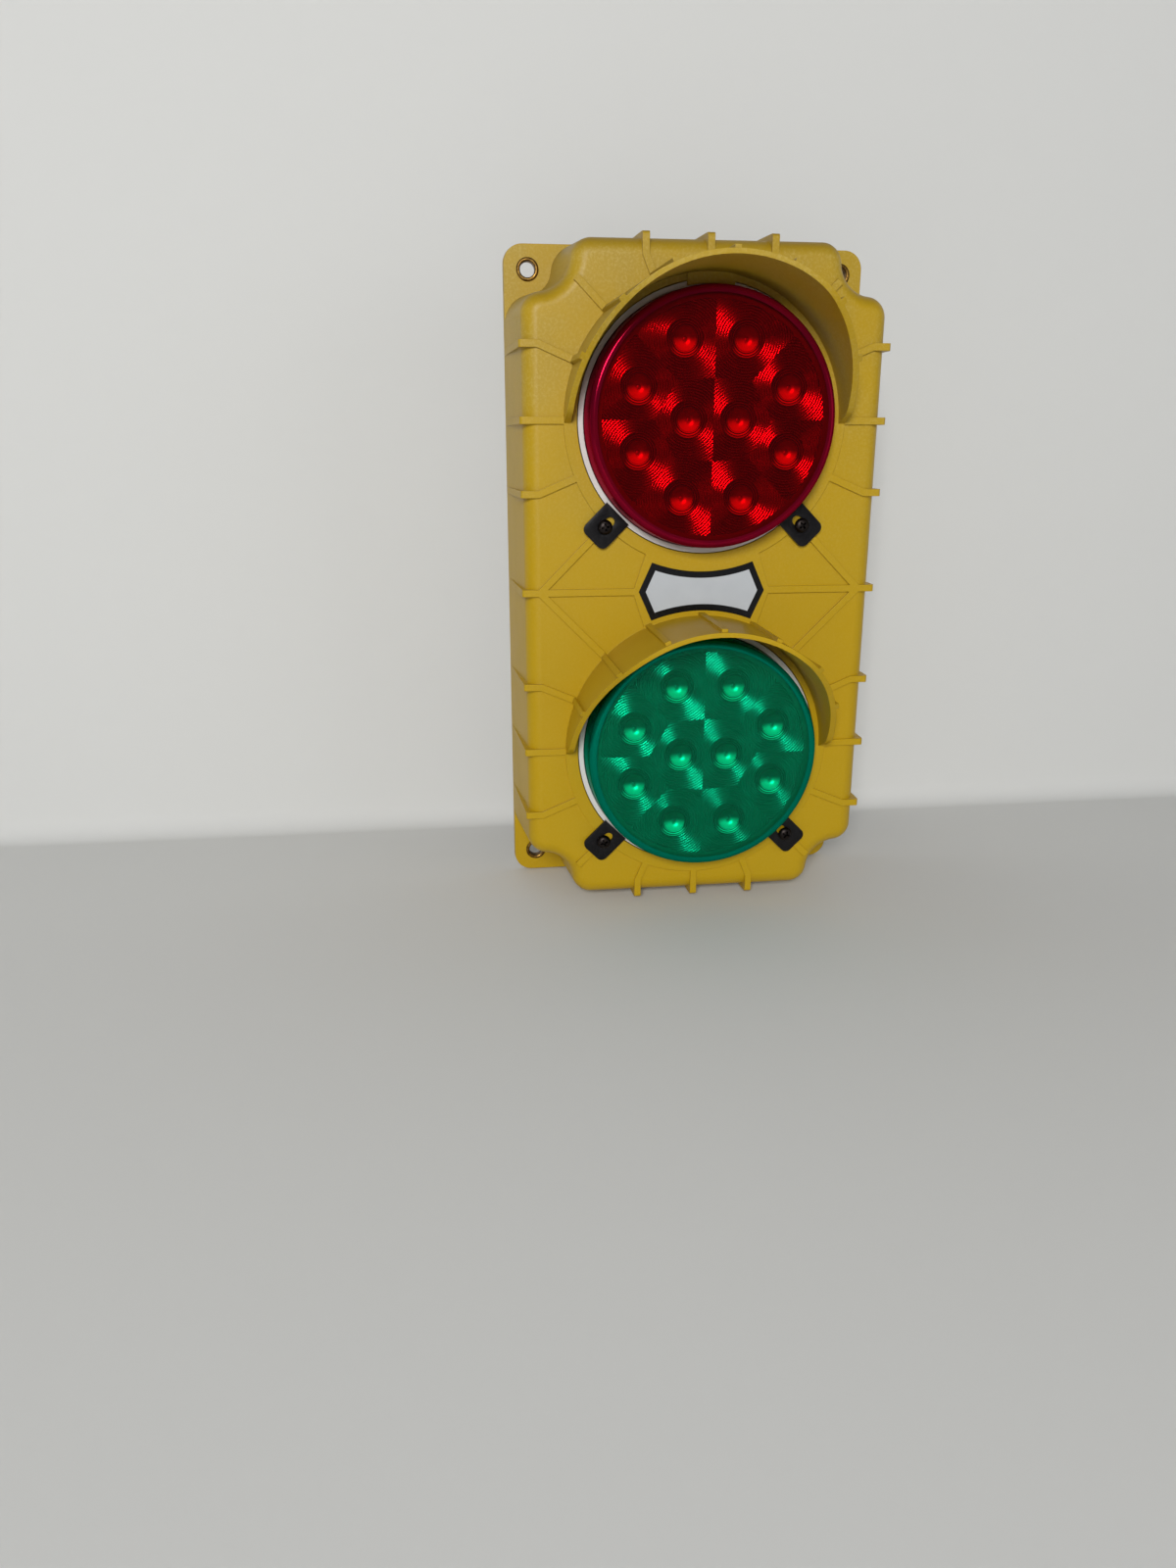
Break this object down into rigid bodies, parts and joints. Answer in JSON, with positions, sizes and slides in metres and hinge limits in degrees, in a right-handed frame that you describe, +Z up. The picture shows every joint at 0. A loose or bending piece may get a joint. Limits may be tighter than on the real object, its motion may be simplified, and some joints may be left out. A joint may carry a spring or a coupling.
{
  "type": "led signal light",
  "caption": "Wall-mounted stop and go signal: drafted yellow housing with a hooded red lamp above a hooded green lamp.",
  "frame": {"origin": "centre of the four wall holes, on the plane where the back rim meets the wall", "axes": "+X to the right seen from the front, -Y out of the wall towards the viewer, +Z up with the red lamp on top"},
  "size_m": [0.1654, 0.0977, 0.2958],
  "materials": {
    "yellow_housing": "moulded, fine texture, satin",
    "label_film": "printed film",
    "bushing_metal": "dark bronze",
    "red_lens": "clear tinted, polished",
    "green_lens": "clear tinted, polished",
    "lamp_base": "moulded white",
    "led_board": "coated board",
    "led": "cast, clear",
    "contact_brass": "stamped",
    "clip": "black, satin",
    "clip_screw": "black oxide"
  },
  "bodies": {
    "root": {"bushing_bottom_left": "bushing_metal", "bushing_bottom_right": "bushing_metal", "bushing_top_left": "bushing_metal", "bushing_top_right": "bushing_metal", "green_clip_left": "clip", "green_clip_right": "clip", "green_clip_screw_left": "clip_screw", "green_clip_screw_right": "clip_screw", "green_contact_left": "contact_brass", "green_contact_right": "contact_brass", "green_lamp_base": "lamp_base", "green_led_1": "led", "green_led_10": "led", "green_led_2": "led", "green_led_3": "led", "green_led_4": "led", "green_led_5": "led", "green_led_6": "led", "green_led_7": "led", "green_led_8": "led", "green_led_9": "led", "green_led_board": "led_board", "green_lens": "green_lens", "housing": "yellow_housing", "label": "label_film", "red_clip_left": "clip", "red_clip_right": "clip", "red_clip_screw_left": "clip_screw", "red_clip_screw_right": "clip_screw", "red_contact_left": "contact_brass", "red_contact_right": "contact_brass", "red_lamp_base": "lamp_base", "red_led_1": "led", "red_led_10": "led", "red_led_2": "led", "red_led_3": "led", "red_led_4": "led", "red_led_5": "led", "red_led_6": "led", "red_led_7": "led", "red_led_8": "led", "red_led_9": "led", "red_led_board": "led_board", "red_lens": "red_lens"}
  },
  "joints": []
}
